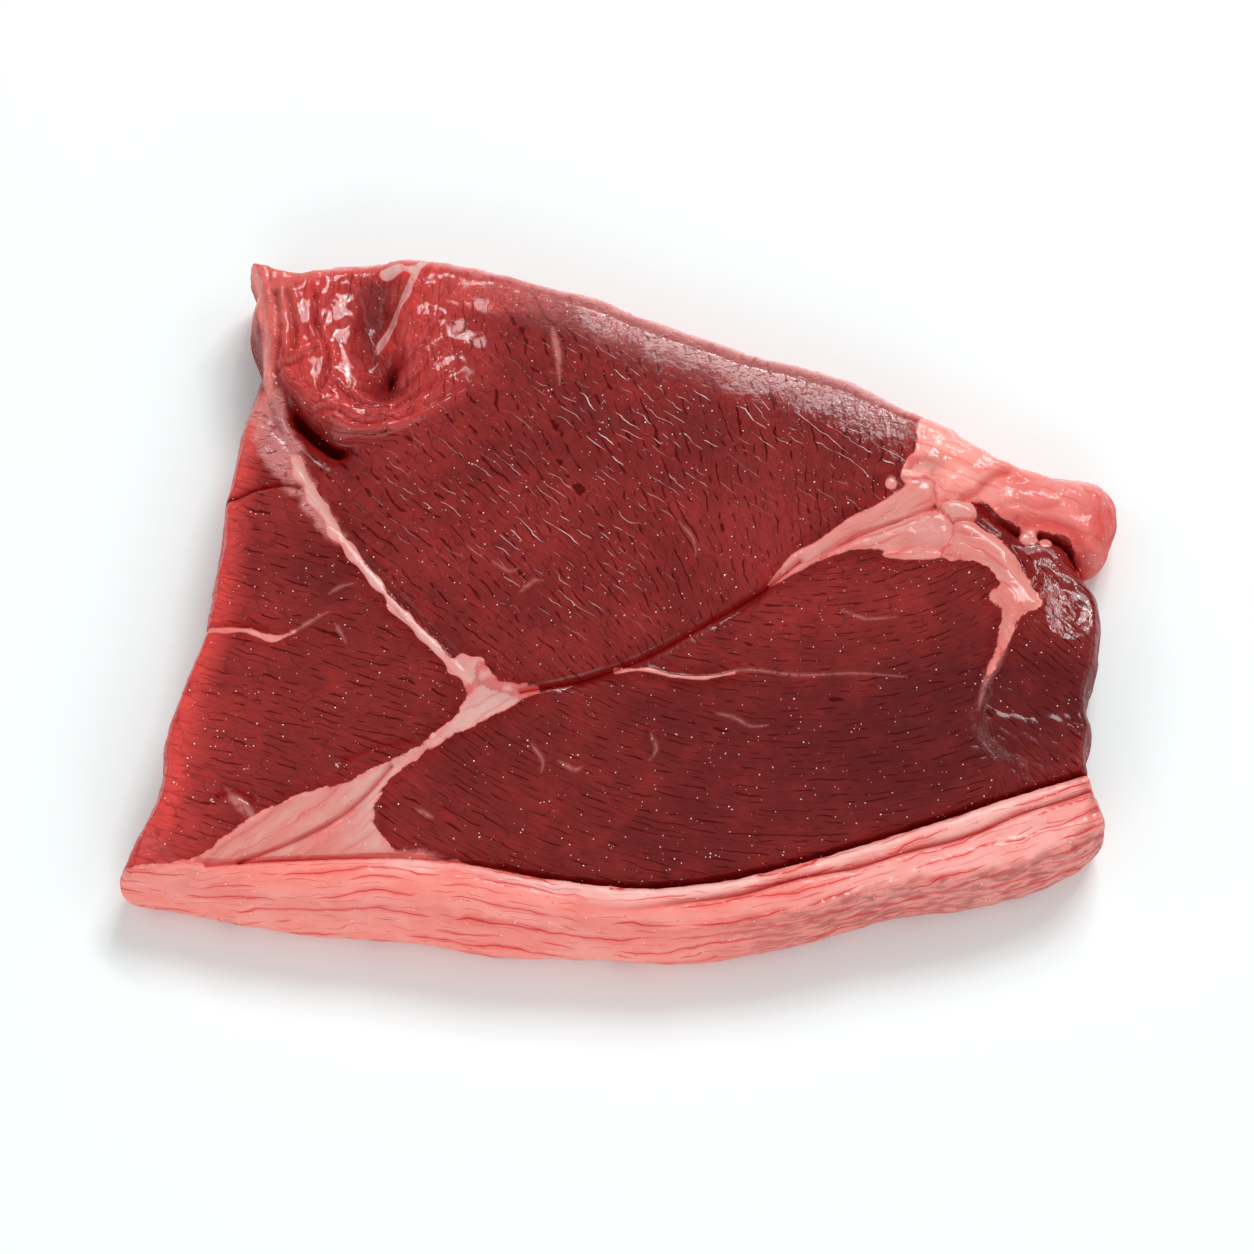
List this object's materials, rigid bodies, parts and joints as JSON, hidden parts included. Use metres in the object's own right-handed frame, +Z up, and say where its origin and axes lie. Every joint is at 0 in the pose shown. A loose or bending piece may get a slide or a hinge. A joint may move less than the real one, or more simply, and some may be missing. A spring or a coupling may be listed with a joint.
{
  "type": "raw sirloin steak",
  "caption": "Raw boneless sirloin steak lying flat, with a fat cap along the front edge, fat seams between its muscles and a flap folded over at the back left.",
  "frame": {"origin": "middle of the steak's bounding box, on the board it lies on", "axes": "+X right along the fat cap, towards the tail of fat; +Y back from the fat cap, towards the folded flap's edge; +Z up, out of the cut face"},
  "size_m": [0.2244, 0.1668, 0.0268],
  "materials": {
    "raw_beef": null
  },
  "bodies": {
    "root": {"steak": "raw_beef"}
  },
  "joints": []
}
